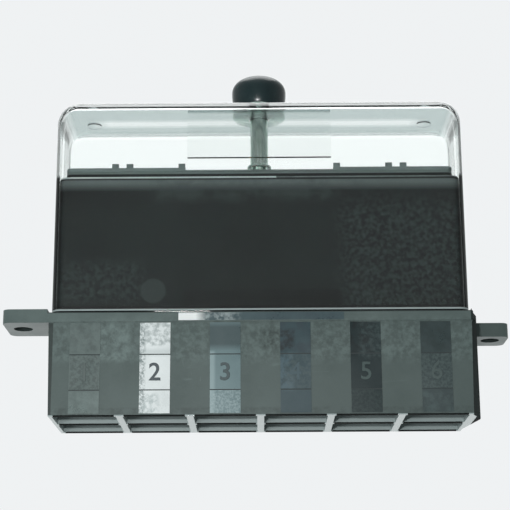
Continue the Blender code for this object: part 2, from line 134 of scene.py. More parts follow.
def add_rows(bm, rows, ring=False):
    """Skins rows of points.

    A row of one point closes to a tip. With ring the last row joins the first.
    """
    made = [[bm.verts.new(p) for p in row] for row in rows]
    pairs = list(zip(made, made[1:]))
    if ring:
        pairs.append((made[-1], made[0]))
    count = max(len(row) for row in made)
    for a, b in pairs:
        for i in range(count):
            j = (i + 1) % count
            first = [a[i], a[j]] if len(a) > 1 else a
            second = [b[j], b[i]] if len(b) > 1 else b
            bm.faces.new(first + second)
    return made


def at_height(outline, z):
    """The outline's (x, y) points as a row of points at height z."""
    return [(x, y, z) for x, y in outline]


def add_post(bm, outline, low, high):
    """An upright solid with the outline's section, closed at both ends."""
    foot, top = add_rows(bm, [at_height(outline, low), at_height(outline, high)])
    bm.faces.new(foot)
    bm.faces.new(top)


def turned(profile):
    """A body of revolution about Z from (radius, height) points: axis to axis, or a closed loop."""
    bm = bmesh.new()
    rows = [at_height(circle(r, TURNED_STEPS), z) if r > 0 else [(0, 0, z)] for r, z in profile]
    add_rows(bm, rows, ring=profile[0][0] > 0)
    return bm


def add_box(bm, low, high):
    """A box between two opposite corners."""
    corners = [bm.verts.new((x, y, z)) for z in (low[2], high[2]) for y in (low[1], high[1])
               for x in (low[0], high[0])]
    for face in ((0, 2, 3, 1), (4, 5, 7, 6), (0, 1, 5, 4), (2, 6, 7, 3), (0, 4, 6, 2), (1, 3, 7, 5)):
        bm.faces.new([corners[i] for i in face])


def rounded_rectangle(half_x, half_y, radius, steps=CORNER_STEPS):
    """Points round the rectangle, with steps + 1 of them on each corner."""
    points = []
    for corner, (sign_x, sign_y) in enumerate(((1, 1), (-1, 1), (-1, -1), (1, -1))):
        for step in range(steps + 1):
            angle = math.pi / 2 * (corner + step / steps)
            points.append((sign_x * (half_x - radius) + radius * math.cos(angle),
                           sign_y * (half_y - radius) + radius * math.sin(angle)))
    return points


def cut(obj, bm, operation="DIFFERENCE"):
    """Takes bm's shape out of the object's mesh, or with UNION adds it."""
    bmesh.ops.recalc_face_normals(bm, faces=bm.faces)
    mesh = bpy.data.meshes.new("cutter")
    bm.to_mesh(mesh)
    bm.free()
    other = bpy.data.objects.new("cutter", mesh)
    bpy.context.scene.collection.objects.link(other)
    modifier = obj.modifiers.new("cut", "BOOLEAN")
    modifier.operation = operation
    modifier.solver = "EXACT"
    modifier.object = other
    graph = bpy.context.evaluated_depsgraph_get()
    made = bpy.data.meshes.new_from_object(obj.evaluated_get(graph))
    obj.modifiers.remove(modifier)
    old = obj.data
    obj.data = made
    bpy.data.meshes.remove(old)
    bpy.data.objects.remove(other)
    bpy.data.meshes.remove(mesh)


# Materials

class Surface:
    """A material with a Principled shader, and short ways to add nodes to it."""

    def __init__(self, name):
        self.material = bpy.data.materials.new(name)
        self.material.use_nodes = True
        self.tree = self.material.node_tree
        self.shader = self.tree.nodes["Principled BSDF"]
        self.place = self.tree.nodes.new("ShaderNodeTexCoord").outputs["Object"]

    def set(self, node, socket, value):
        """Links the socket to value where value is another node's output, and else gives it value."""
        target = node.inputs[socket]
        if isinstance(value, bpy.types.NodeSocket):
            self.tree.links.new(value, target)
        elif isinstance(value, tuple) and len(value) == 3 and target.type == "RGBA":
            target.default_value = (*value, 1.0)
        else:
            target.default_value = value

    def node(self, kind, sockets, **settings):
        """A new node with its settings, and its sockets linked or given their values."""
        made = self.tree.nodes.new(kind)
        for key, value in settings.items():
            setattr(made, key, value)
        for socket, value in sockets.items():
            self.set(made, socket, value)
        return made

    def source(self, socket):
        """The output that the shader's socket is linked to."""
        return self.shader.inputs[socket].links[0].from_socket

    def stretched(self, x, y, z, turn=0.0):
        """Coordinates scaled along each axis and turned about Y, for streaks."""
        return self.node("ShaderNodeMapping", {"Vector": self.place, "Scale": Vector((x, y, z)),
                                               "Rotation": Vector((0, turn, 0))}).outputs[0]

    def noise(self, scale, detail, roughness, vector=None, distortion=0.0):
        """Noise from 0 to 1, mostly between 0.3 and 0.7."""
        sockets = {"Vector": vector or self.place, "Scale": scale, "Detail": detail, "Roughness": roughness,
                   "Distortion": distortion}
        return self.node("ShaderNodeTexNoise", sockets).outputs["Fac"]

    def ramp(self, factor, low, high, start=0.0, end=1.0):
        """Maps factor from low..high to start..end, held at both ends."""
        made = self.node("ShaderNodeMapRange", {"Value": factor, "From Min": low, "From Max": high,
                                                "To Min": start, "To Max": end})
        return made.outputs["Result"]

    def mix(self, factor, first, second):
        """The first colour where factor is 0 and the second where it is 1."""
        return self.node("ShaderNodeMix", {0: factor, 6: first, 7: second}, data_type="RGBA").outputs[2]

    def math(self, operation, first, second):
        return self.node("ShaderNodeMath", {0: first, 1: second}, operation=operation).outputs[0]

    def both(self, first, second):
        return self.math("MULTIPLY", first, second)

    def either(self, first, second):
        return self.math("MAXIMUM", first, second)

    def axis(self, name):
        """One coordinate of a point on the piece, in the frame's metres."""
        return self.node("ShaderNodeSeparateXYZ", {"Vector": self.place}).outputs[name]

    def within(self, value, low, high, soft):
        """1 between low and high (millimetres), fading to 0 over soft outside them."""
        rise = self.ramp(value, (low - soft) * MM, low * MM)
        fall = self.ramp(value, high * MM, (high + soft) * MM, 1.0, 0.0)
        return self.both(rise, fall)

    def near(self, value, reach, soft):
        """1 up to reach (millimetres) on both sides of 0, fading to 0 over soft beyond it."""
        return self.within(value, -reach, reach, soft)

    def beyond(self, value, reach, soft):
        """What near leaves: 0 up to reach on both sides of 0, and 1 outside."""
        return self.math("SUBTRACT", 1.0, self.near(value, reach, soft))

    def patch(self, x, z, soft, strength):
        """A mask of the given strength over a range of X and Z."""
        area = self.both(self.within(self.axis("X"), *x, soft), self.within(self.axis("Z"), *z, soft))
        return self.both(area, strength)

    def bump(self, height, distance, strength, normal=None):
        """Bumps the shader's normal, on top of another bump's where its normal is given."""
        sockets = {"Height": height, "Distance": distance, "Strength": strength}
        if normal is not None:
            sockets["Normal"] = normal
        made = self.node("ShaderNodeBump", sockets)
        self.set(self.shader, "Normal", made.outputs[0])
        return made.outputs[0]

    def color(self, value):
        self.set(self.shader, "Base Color", value)

    def roughness(self, value):
        self.set(self.shader, "Roughness", value)


def srgb(red, green, blue):
    """A colour in display values from 0 to 255, as the linear values that a shader takes."""
    return tuple(((v / 255 + 0.055) / 1.055) ** 2.4 for v in (red, green, blue))


def shade(color, factor):
    """The colour made lighter or darker by a factor."""
    return tuple(min(1.0, c * factor) for c in color)


GREY = srgb(89, 103, 101)
BLACK = srgb(26, 39, 38)
CLEAR_TINT = (0.985, 0.996, 0.992)


def moulded_plastic(name, dark, light, roughness, scuff, scuff_color, specular=0.5, patches=(), disc=None):
    """Moulded plastic: cloudy tone, fine grain, and pale scuffs that are also rougher.

    Each of patches is (X range, Z range, soft edge, speckle size, amount, colour), in millimetres. A speckle
    size of 0 leaves the patch whole. disc is (centre, radius, soft edge, amount, colour) of one round mark.
    """
    s = Surface(name)
    s.set(s.shader, "Specular IOR Level", specular)
    # Noise scales are in waves per metre, so a scale of 1000 has waves about a millimetre long.
    cloud = s.noise(55.0, 4.0, 0.6)
    grain = s.noise(2600.0, 2.0, 0.6)
    tone = s.math("ADD", s.ramp(cloud, 0.35, 0.65, 0.0, 0.75), s.ramp(grain, 0.3, 0.7, 0.0, 0.25))
    long_marks = s.noise(420.0, 3.0, 0.65, s.stretched(0.16, 1.0, 1.0, 0.25), 0.4)
    short_marks = s.noise(900.0, 2.0, 0.7, s.stretched(1.0, 1.0, 0.3, -0.4), 0.6)
    areas = s.noise(80.0, 2.0, 0.5)
    marks = s.either(s.ramp(long_marks, 0.64, 0.74), s.ramp(short_marks, 0.68, 0.78))
    marks = s.both(marks, s.ramp(areas, 0.5, 0.68, 0.0, scuff))
    color = s.mix(marks, s.mix(tone, dark, light), scuff_color)
    for x, z, soft, speckle, amount, tint in patches:
        if speckle:
            amount = s.ramp(s.noise(1.0 / (speckle * MM), 4.0, 0.7), 0.42, 0.6, 0.0, amount)
        color = s.mix(s.patch(x, z, soft, amount), color, tint)
    if disc:
        centre, radius, soft, amount, tint = disc
        away = s.node("ShaderNodeVectorMath", {0: s.place, 1: Vector(centre) * MM}, operation="DISTANCE")
        mark = s.ramp(away.outputs["Value"], radius * MM, (radius + soft) * MM, amount, 0.0)
        color = s.mix(mark, color, tint)
    s.color(color)
    s.roughness(s.ramp(s.math("ADD", tone, marks), 0.0, 1.4, roughness - 0.06, roughness + 0.2))
    s.bump(grain, 0.015 * MM, 0.5, s.bump(cloud, 0.12 * MM, 0.25))
    return s


# Where painted light and shade lie on the base's underside, in millimetres.
OPENINGS_X = 59.0
OPENINGS_Y = 14.0
OPENINGS_Z = (0.3, 2.2)
UNDERSIDE_Z = (-1.0, 0.25)
SEPARATOR_X = 1.3
OPENING_PAINTED_LIGHT = srgb(172, 186, 186)
WALL_PAINTED_SHADE = srgb(8, 14, 14)
SEPARATOR_PAINTED_HIGHLIGHT = srgb(150, 163, 163)


def base_plastic(name, patches):
    """The base's grey.

    On its underside the walls' edges are dull, with painted shade, and the separators' edges shine, with a
    painted highlight. The cable openings have painted light inside, just above their mouths.
    """
    s = moulded_plastic(name, shade(GREY, 0.8), shade(GREY, 1.12), 0.34, 0.5, shade(GREY, 2.2), 0.3, patches)
    x, y, z = s.axis("X"), s.axis("Y"), s.axis("Z")
    openings = s.both(s.near(x, OPENINGS_X, 0.1), s.near(y, OPENINGS_Y, 0.1))
    openings = s.both(openings, s.within(z, *OPENINGS_Z, 1.5))
    # Painted light inside the cable openings.
    color = s.mix(s.both(openings, 0.6), s.source("Base Color"), OPENING_PAINTED_LIGHT)
    underside = s.within(z, *UNDERSIDE_Z, 0.1)
    # PINGPONG folds X into the distance from the nearest separator.
    from_separator = s.math("PINGPONG", x, PITCH / 2)
    separators = s.both(underside, s.near(from_separator, SEPARATOR_X, 0.1))
    walls = s.math("SUBTRACT", underside, separators)
    rough = s.both(s.source("Roughness"), s.ramp(separators, 0.0, 1.0, 1.0, 0.3))
    # Painted shade on the walls' edges and a painted highlight on the separators' edges.
    s.color(s.mix(separators, s.mix(walls, color, WALL_PAINTED_SHADE), SEPARATOR_PAINTED_HIGHLIGHT))
    s.roughness(s.either(rough, walls))
    return s


def clear_plastic(name, tint, roughness=0.02):
    """Clear plastic with faint waves."""
    s = Surface(name)
    s.color(tint)
    s.roughness(roughness)
    s.set(s.shader, "Transmission Weight", 1.0)
    s.set(s.shader, "IOR", 1.49)
    s.bump(s.noise(60.0, 1.0, 0.4), 0.06 * MM, 0.3)
    return s


# Where the cover's painted shade, painted highlights and haze lie, in millimetres. The cover reaches 60.4 in
# X and 13.3 in Y, and runs from 30.3 to 95.6 in Z.
ROOF_Z = (93.0, 97.0)
ROOF_Y = (-11.3, 11.8)
GLEAM_Y = (0.4, 4.8)
GLEAM_X = 46.0
END_X = 59.3
CORNER_X = 58.9
CORNER_Y = 10.4
CORNER_Z = (31.5, 71.6)
FOOT_Z = (30.0, 31.4)
FOOT_HIGHLIGHT_Z = (31.0, 31.4)
TOP_EDGE_Z = (94.0, 97.0)
TOP_EDGE_Y = 11.6
HAZY_END_X = 59.4
ROOF_PAINTED_SHADE = (0.50, 0.565, 0.56)
CORNER_PAINTED_SHADE = (0.005, 0.008, 0.008)
FOOT_PAINTED_HIGHLIGHT = srgb(158, 172, 172)
FOOT_PAINTED_SHADOW = srgb(20, 27, 27)


def cover_plastic(name):
    """Clear plastic with painted shade: darker and greener at its roof and ends, except at a painted gleam,
    and dark at its lower corners.

    Its foot is frosted, with a painted highlight line above a painted shadow line, and its top edges and
    ends are hazy.
    """
    s = clear_plastic(name, CLEAR_TINT)
    x, y, z = s.axis("X"), s.axis("Y"), s.axis("Z")
    # The gleam is a painted highlight: where it lies, the roof's painted shade is weaker.
    gleam = s.both(s.within(y, *GLEAM_Y, 0.6), s.near(x, GLEAM_X, 6.0))
    roof = s.both(s.within(z, *ROOF_Z, 0.6), s.within(y, *ROOF_Y, 0.3))
    roof = s.both(roof, s.ramp(gleam, 0.0, 1.0, 1.0, 0.25))
    ends = s.both(s.beyond(x, END_X, 0.2), 0.4)
    corners = s.both(s.beyond(x, CORNER_X, 0.1), s.beyond(y, CORNER_Y, 0.2))
    corners = s.both(corners, s.within(z, *CORNER_Z, 1.0))
    foot = s.within(z, *FOOT_Z, 0.08)
    # Painted shade at the roof and the ends.
    color = s.mix(s.either(roof, ends), CLEAR_TINT, ROOF_PAINTED_SHADE)
    # Painted shade at the lower corners.
    color = s.mix(corners, color, CORNER_PAINTED_SHADE)
    # At the foot, a painted highlight line above a painted shadow line.
    s.color(s.mix(foot, color, s.mix(s.within(z, *FOOT_HIGHLIGHT_Z, 0.08), FOOT_PAINTED_SHADOW, FOOT_PAINTED_HIGHLIGHT)))
    top_edges = s.both(s.within(z, *TOP_EDGE_Z, 0.3), s.beyond(y, TOP_EDGE_Y, 0.3))
    haze = s.either(top_edges, s.beyond(x, HAZY_END_X, 0.2))
    clear = s.both(s.ramp(foot, 0.0, 1.0, 1.0, 0.15), s.ramp(haze, 0.0, 1.0, 1.0, 0.68))
    s.set(s.shader, "Transmission Weight", clear)
    return s


def plated_metal(name, dark, light, roughness, streak=(1.0, 1.0, 0.08)):
    """Metal with a faint stain and fine drawn streaks, long where streak is small."""
    s = Surface(name)
    s.set(s.shader, "Metallic", 1.0)
    streaks = s.noise(1100.0, 3.0, 0.6, s.stretched(*streak))
    stain = s.noise(260.0, 3.0, 0.6)
    s.color(s.mix(s.ramp(stain, 0.35, 0.65), dark, light))
    s.roughness(s.ramp(streaks, 0.3, 0.7, roughness - 0.06, roughness + 0.1))
    s.bump(streaks, 0.01 * MM, 0.4)
    return s


BASE_GREY = base_plastic("base_plastic", (
    ((-61, 61), (0, 27), 0.3, 0, 0.5, shade(GREY, 0.6)),
    # Painted shade: the front darker towards the right.
    ((20, 62), (0, 27), 20.0, 0, 0.25, shade(GREY, 0.5)),
    ((-61, 61), (17, 27), 3.0, 5.0, 0.5, shade(GREY, 0.55)),
    ((-61, 61), (17, 26), 3.0, 2.2, 0.35, shade(GREY, 1.6)),
    ((-61, 61), (0, 2.0), 0.6, 2.5, 0.7, shade(GREY, 0.5)),
    ((-50, -38), (16.5, 26), 1.5, 3.0, 0.5, shade(GREY, 1.7)),
    ((1, 9), (20, 24), 1.5, 1.6, 0.8, shade(GREY, 0.35)),
    # Painted shadow lines: down the front's left edge, and along the rim's top under the cover's foot.
    ((-61, -59.3), (0.3, 26.8), 0.15, 0, 0.8, shade(GREY, 0.25)),
    ((-61, 61), (29.8, 30.2), 0.1, 0, 0.7, shade(GREY, 0.2)),
))
# Painted shade for the right rail's faces and the walls of the ears' holes.
PAINTED_SHADE_GREY = moulded_plastic("painted_shade_plastic", shade(GREY, 0.2), shade(GREY, 0.35), 0.7, 0.3,
                            shade(GREY, 1.5), specular=0.05)
# The patches from Z 70 up are lines along the carrier's shoulder and lip: a painted highlight on the
# shoulder's edge, a painted shade line just below and just above it, lighter bands under it, and a lighter
# lip face above.
CARRIER_BLACK = moulded_plastic(
    "carrier_plastic", shade(BLACK, 0.5), shade(BLACK, 0.9), 0.42, 0.3, shade(BLACK, 2.6), specular=0.3,
    patches=(
        ((-59, 59), (70.0, 70.8), 2.6, 0, 0.8, srgb(112, 125, 124)),
        ((-30, 30), (66, 71.0), 3.0, 12.0, 0.5, srgb(64, 76, 76)),
        ((28, 56), (31, 60), 8.0, 1.3, 0.6, srgb(62, 74, 74)),
        ((-56, -36), (36, 44), 4.0, 1.5, 0.6, srgb(58, 70, 70)),
        ((-21.5, 22.5), (30, 36.5), 1.5, 0, 0.75, shade(BLACK, 0.25)),
        ((-59.5, 59.5), (70.95, 71.5), 0.1, 0, 0.85, shade(BLACK, 0.3)),
        ((-59.5, 5), (71.5, 72.6), 0.05, 0, 1.0, srgb(215, 228, 226)),
        ((5, 59.5), (71.6, 72.6), 0.08, 9.0, 0.8, srgb(120, 136, 134)),
        ((-59.5, 59.5), (31.6, 32.4), 0.2, 0, 0.7, shade(BLACK, 0.2)),
        ((-59, 59), (72.65, 73.3), 0.08, 0, 0.9, shade(BLACK, 0.3)),
        ((-59, 59), (73.5, 80), 0.1, 0, 0.9, srgb(120, 136, 134)),
    ),
    disc=((-31, -12, 37), 3.4, 0.5, 0.6, srgb(62, 72, 72)))
CLEAR = cover_plastic("clear_plastic")
KNOB_BLACK = moulded_plastic("knob_plastic", srgb(24, 38, 40), srgb(33, 49, 51), 0.16, 0.1, srgb(60, 72, 72))
ZINC = plated_metal("zinc_plate", (0.60, 0.80, 0.70), (0.90, 1.0, 0.95), 0.16)
BRASS = plated_metal("brass", (0.55, 0.38, 0.15), (0.80, 0.60, 0.28), 0.25, (0.1, 0.1, 1.0))
TIN = plated_metal("tinned_copper", (0.52, 0.50, 0.47), (0.76, 0.74, 0.70), 0.3)
FUSE_RED = moulded_plastic("fuse_plastic", (0.36, 0.03, 0.035), (0.50, 0.05, 0.055), 0.3, 0.15,
                           (0.65, 0.30, 0.30))
FUSE_CLEAR = clear_plastic("fuse_clear", (0.95, 0.96, 0.96), 0.05)
INK_LINE = moulded_plastic("witness_line", srgb(34, 44, 45), srgb(44, 56, 57), 0.5, 0.0, srgb(44, 56, 57))


# Base housing with its numbered bands

# The ears' holes and the right rail, whose faces get painted shade, in millimetres. A face is upright where
# its normal's Z is small.
EAR_HOLES = ((-69.0, -7.25), (69.0, 8.0))
EAR_HOLE_RADIUS = 2.77
RAIL_X = (60.3, 63.5)
UPRIGHT = 0.5


def base_housing():
    """The base. Its right rail and the walls of the ears' holes are darker than the rest: painted shade."""
    bm = frame_bmesh("base_housing")
    ease_edges(bm, 0.28 * MM)
    obj = new_object("housing", finish_mesh("housing", bm), "root", BASE_GREY.material,
                     ["base_housing"])
    obj.data.materials.append(PAINTED_SHADE_GREY.material)
    for face in obj.data.polygons:
        x, y = face.center.x / MM, face.center.y / MM
        in_hole = min(math.hypot(x - hole_x, y - hole_y) for hole_x, hole_y in EAR_HOLES) < EAR_HOLE_RADIUS
        if RAIL_X[0] < x < RAIL_X[1] or (in_hole and abs(face.normal.z) < UPRIGHT):
            face.material_index = 1
    weighted_normals(obj)


BASE_HALF_Y = 15.2 * MM
RIM_HALF_Y = 15.5 * MM
BAND_HALF_X = 4.35 * MM
BAND_PROUD = 0.12 * MM
BAND_ROOT = 0.05 * MM
BAND_EDGE = 0.05 * MM
BAND_JOINTS = [z * MM for z in (0.5, 7.35, 17.6, 27.0)]
LINE_HALF = 0.16 * MM
LINE_PROUD = 0.3 * BAND_PROUD
DIGIT_HEIGHT = 5.2 * MM
DIGIT_SHARE = 0.72
DIGIT_Z = 12.3 * MM
DIGIT_PROUD = 0.1 * MM
FAINT_DIGIT_PROUD = 0.03 * MM
FAINT_DIGIT = 4
RIM_STRIP_X = (-23.4 * MM, 24 * MM)
RIM_STRIP_Z = (27.5 * MM, 29.7 * MM)
RIM_STRIP_PROUD = 0.1 * MM
RIM_STRIP_BLUE = srgb(63, 81, 85)
# Each band's colour, its number's colour, and its patches as in moulded_plastic, but with X from its middle.
BANDS = {
    1: (GREY, shade(GREY, 0.72), (
        ((-4, 4), (7.5, 17.5), 0.3, 1.1, 0.75, shade(GREY, 0.5)),
        ((-4, 4), (0, 6.5), 0.8, 3.0, 0.6, shade(GREY, 1.35)),
        ((-4, 4), (19, 27), 1.5, 3.0, 0.7, shade(GREY, 0.6)))),
    2: (srgb(214, 222, 222), srgb(66, 76, 80), (
        ((-5, 5), (20.5, 27), 0.8, 1.3, 0.6, srgb(120, 134, 134)),
        ((-5, -3.2), (0, 27), 0.8, 0.8, 0.9, srgb(110, 124, 124)),
        ((-5, 0.5), (0, 5.5), 1.2, 1.2, 0.7, srgb(150, 164, 164)),
        ((-5, 5), (17.8, 18.6), 1.2, 0, 0.35, srgb(150, 164, 164)))),
    3: (srgb(100, 122, 125), srgb(62, 76, 78), (
        ((-5, 5), (20.5, 25.5), 2.0, 0, 0.85, srgb(60, 74, 76)),
        ((-5, -3.4), (0, 18), 0.8, 0, 0.4, srgb(160, 180, 182)),
        ((-5, 5), (0, 7.2), 0.5, 0.7, 0.5, srgb(156, 174, 176)))),
    4: (srgb(50, 69, 74), srgb(60, 80, 86), (
        ((-4, -1.5), (8, 17), 1.5, 2.4, 0.5, srgb(80, 103, 112)),
        ((-2, 4), (8, 17), 1.5, 1.0, 0.4, srgb(78, 92, 92)),
        ((-5, 5), (18, 27), 0.6, 4.0, 0.8, srgb(47, 60, 66)),
        ((-5, -1), (19, 24), 1.2, 1.5, 0.9, srgb(30, 38, 40)))),
    5: (srgb(18, 36, 38), srgb(58, 74, 73), (
        ((-5, 5), (0, 7), 0.5, 0.9, 0.5, srgb(50, 66, 64)),
        ((-1, 5), (17, 27), 1.5, 1.2, 0.6, srgb(58, 74, 74)),
        ((-5, 1), (18, 27), 1.5, 2.5, 0.6, srgb(8, 18, 20)))),
    6: (srgb(50, 63, 64), srgb(64, 78, 77), (
        ((-5, 5), (7.5, 17.5), 0.3, 0.8, 0.6, srgb(76, 90, 89)),
        ((-5, 5), (0, 6), 1.0, 3.0, 0.6, srgb(70, 86, 86)),
        ((-5, 5), (18, 27), 0.5, 2.4, 0.6, srgb(41, 52, 52)))),
}


def base_bands():
    """Six thin glossy bands down the front, each in three tiles, with its number on the middle one."""
    front = -BASE_HALF_Y
    for number, x in zip(NUMBERS, POSITIONS):
        tone, ink, marks = BANDS[number]
        patches = [([x / MM + edge for edge in across], *rest) for across, *rest in marks]
        surface = moulded_plastic(f"band_{number}", shade(tone, 0.88), shade(tone, 1.08), 0.3, 0.5,
                                  shade(tone, 1.5), patches=patches)
        left, right, root = x - BAND_HALF_X, x + BAND_HALF_X, front + BAND_ROOT
        tiles = bmesh.new()
        for low, high in zip(BAND_JOINTS, BAND_JOINTS[1:]):
            add_box(tiles, (left, front - BAND_PROUD, low + LINE_HALF), (right, root, high - LINE_HALF))
        ease_edges(tiles, BAND_EDGE, 1)
        lines = bmesh.new()
        for joint in BAND_JOINTS[1:-1]:
            add_box(lines, (left, front - LINE_PROUD, joint - LINE_HALF), (right, root, joint + LINE_HALF))
        for name, bm, material in ((f"band_{number}", tiles, surface.material),
                                   (f"band_line_{number}", lines, INK_LINE.material)):
            new_object(name, finish_mesh(name, bm), "root", material)
        digit(number, x, front - BAND_PROUD, ink)


def digit(number, x, y, ink):
    """One raised numeral, centred at x on the band's face at y."""
    surface = moulded_plastic(f"digit_{number}", shade(ink, 0.97), shade(ink, 1.03), 0.4, 0.0, ink)
    text = bpy.data.curves.new(f"digit_{number}", "FONT")
    text.body = str(number)
    text.size = DIGIT_HEIGHT / DIGIT_SHARE
    text.align_x = "CENTER"
    text.align_y = "CENTER"
    text.bevel_depth = FAINT_DIGIT_PROUD if number == FAINT_DIGIT else DIGIT_PROUD
    text.bevel_resolution = 1
    text.resolution_u = 6
    obj = bpy.data.objects.new(f"digit_{number}", text)
    obj.matrix_world = Matrix.Translation((x, y, DIGIT_Z)) @ Matrix.Rotation(math.pi / 2, 4, "X")
    bpy.context.scene.collection.objects.link(obj)
    text.materials.append(surface.material)
    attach(obj, "root")


def rim_strip():
    """The glossy strip along the middle of the rim's front, with a white painted highlight at its left end.
    """
    blue = RIM_STRIP_BLUE
    patches = (
        ((-18, -8), (26, 31), 3.0, 1.6, 0.8, srgb(150, 162, 162)),
        # Painted highlight: the white patch at the strip's left end.
        ((-24.5, -18.5), (26, 31), 3.0, 0, 0.94, srgb(228, 234, 233)),
        ((2, 23), (26, 31), 4.0, 5.0, 0.6, srgb(56, 70, 76)),
    )
    surface = moulded_plastic("rim_strip", shade(blue, 0.85), shade(blue, 1.15), 0.3, 0.5, shade(blue, 2.0),
                              patches=patches)
    bm = bmesh.new()
    add_box(bm, (RIM_STRIP_X[0], -RIM_HALF_Y - RIM_STRIP_PROUD, RIM_STRIP_Z[0]),
            (RIM_STRIP_X[1], -RIM_HALF_Y + RIM_STRIP_PROUD, RIM_STRIP_Z[1]))
    ease_edges(bm, BAND_EDGE, 1)
    new_object("rim_strip", finish_mesh("rim_strip", bm), "root", surface.material)


# Fuse carrier

LIP_HALF_X = 57.5 * MM
LIP_HALF_Y = 10.0 * MM
LIP_CORNER = 1.8 * MM
GROOVE_OUT = 1.0 * MM
GROOVE_DEPTH = 0.45 * MM
GROOVE_LOW = 73.9 * MM
GROOVE_HIGH = 74.3 * MM


def fuse_carrier():
    """The carrier, with a fine groove round its top lip."""
    bm = frame_bmesh("fuse_carrier")
    ease_edges(bm, 0.25 * MM)
    obj = new_object("carrier", finish_mesh("carrier", bm), "root", CARRIER_BLACK.material,
                     ["fuse_carrier"])
    groove = bmesh.new()
    outer, inner = (rounded_rectangle(LIP_HALF_X + reach, LIP_HALF_Y + reach, LIP_CORNER + reach, steps=6)
                    for reach in (GROOVE_OUT, -GROOVE_DEPTH))
    add_rows(groove, [at_height(outer, GROOVE_LOW), at_height(outer, GROOVE_HIGH),
                      at_height(inner, GROOVE_HIGH), at_height(inner, GROOVE_LOW)], ring=True)
    cut(obj, groove)
    smooth(obj.data, 40)
    weighted_normals(obj)


# Clear cover

COVER_WALL = 0.9 * MM
COVER_ROOF = 1.85 * MM
COVER_FOOT = 0.5 * MM
COVER_CORNER = 3.0 * MM
COVER_INNER_CORNER = 1.3 * MM
COVER_END_ROUND = 6.5 * MM
COVER_EDGE_ROUND = 2.2 * MM
STEM_HOLE = 3.2 * MM
PLATE_HALF_X = 21.4 * MM
PLATE_Y = (-10.8 * MM, -9.6 * MM)
PLATE_FOOT = 78.4 * MM
PAD_RADIUS = 2.2 * MM
PAD_X = 50.9 * MM
PAD_Y = 2.8 * MM
PAD_HEIGHT = 0.4 * MM
OVERLAP = 0.5 * MM
HOLE_PAST = 2 * MM


def cover_rings(half_x, half_y, corner, low, top, end_round, edge_round):
    """Outlines from the foot to the top, with the ends and sides curving in to the top."""
    heights = {low}
    heights |= {top - end_round * (1 - math.sin(math.radians(a))) for a in range(0, 61, 6)}
    heights |= {top - edge_round * (1 - math.sin(math.radians(a))) for a in range(0, 91, 9)}
    rings = []
    for z in sorted(heights):
        insets = []
        for radius in (end_round, edge_round):
            up = max(0.0, z - (top - radius))
            insets.append(radius - math.sqrt(max(0.0, radius ** 2 - up ** 2)))
        outline = rounded_rectangle(half_x - insets[0], half_y - insets[1], corner)
        rings.append(at_height(outline, z))
    return rings


def foot_rings(half_x, half_y, low):
    """Outlines round the wall's rounded foot, from its inner face down and out to its outer face."""
    rings = []
    for angle in range(15, 180, 15):
        inset = COVER_WALL / 2 * (1 + math.cos(math.radians(angle)))
        share = inset / COVER_WALL
        corner = COVER_CORNER * (1 - share) + COVER_INNER_CORNER * share
        outline = rounded_rectangle(half_x - inset, half_y - inset, corner)
        rings.append(at_height(outline, low + COVER_FOOT * (1 - math.sin(math.radians(angle)))))
    return rings


def clear_cover():
    """The cover: a thin shell with a plate and two pads under its roof, and the stem's hole.

    The shell is skinned up its outside, down its inside and round its foot. One face closes the outside at
    the top, and another the inside at the ceiling.
    """
    low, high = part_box("clear_cover")
    half_x, half_y, top = high.x, high.y, high.z
    ceiling = top - COVER_ROOF
    wall = COVER_WALL
    straight = low.z + COVER_FOOT
    outer = cover_rings(half_x, half_y, COVER_CORNER, straight, top, COVER_END_ROUND, COVER_EDGE_ROUND)
    inner = cover_rings(half_x - wall, half_y - wall, COVER_INNER_CORNER, straight, ceiling,
                        COVER_END_ROUND - wall, COVER_EDGE_ROUND - wall)
    bm = bmesh.new()
    rings = outer + inner[::-1] + foot_rings(half_x, half_y, low.z)
    made = [[bm.verts.new(p) for p in ring] for ring in rings]
    roof = len(outer) - 1
    for k, (below, above) in enumerate(zip(made, made[1:] + made[:1])):
        if k == roof:
            bm.faces.new(below)
            bm.faces.new(above)
            continue
        for i in range(len(below)):
            j = (i + 1) % len(below)
            bm.faces.new((below[i], below[j], above[j], above[i]))
    obj = new_object("cover", finish_mesh("cover", bm), "cover", CLEAR.material,
                     ["clear_cover"])
    extra = bmesh.new()
    add_box(extra, (-PLATE_HALF_X, PLATE_Y[0], PLATE_FOOT), (PLATE_HALF_X, PLATE_Y[1], ceiling + OVERLAP))
    for side in (-1, 1):
        pad = circle(PAD_RADIUS, 40, (side * PAD_X, PAD_Y))
        add_post(extra, pad, ceiling - PAD_HEIGHT, ceiling + OVERLAP)
    cut(obj, extra, "UNION")
    hole = bmesh.new()
    add_post(hole, circle(STEM_HOLE, 48), ceiling - HOLE_PAST, top + HOLE_PAST)
    cut(obj, hole)
    smooth(obj.data, 30)
    weighted_normals(obj)


# Thumb screw

def thumb_knob():
    """The mushroom knob: a flared skirt up to its widest height, then a full dome, and the stem's socket."""
    low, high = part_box("thumb_knob")
    radius, widest = 8.3 * MM, 102.6 * MM
    socket, socket_top = 2.85 * MM, 104.3 * MM
    foot = 7.3 * MM
    skirt_steps, skirt_fullness = 12, 0.7
    dome_steps, dome_fullness = 28, 0.84
    profile = [(0.0, socket_top), (socket, socket_top), (socket, low.z), (foot, low.z)]
    for step in range(1, skirt_steps):
        rise = step / skirt_steps
        profile.append((foot + (radius - foot) * math.sin(rise * math.pi / 2) ** skirt_fullness,
                        low.z + (widest - low.z) * rise))
    for step in range(dome_steps):
        angle = math.pi / 2 * step / dome_steps
        profile.append((radius * math.cos(angle) ** dome_fullness,
                        widest + (high.z - widest) * math.sin(angle) ** dome_fullness))
    profile.append((0.0, high.z))
    new_object("knob", finish_mesh("knob", turned(profile), 50), "knob", KNOB_BLACK.material,
               ["thumb_knob"])


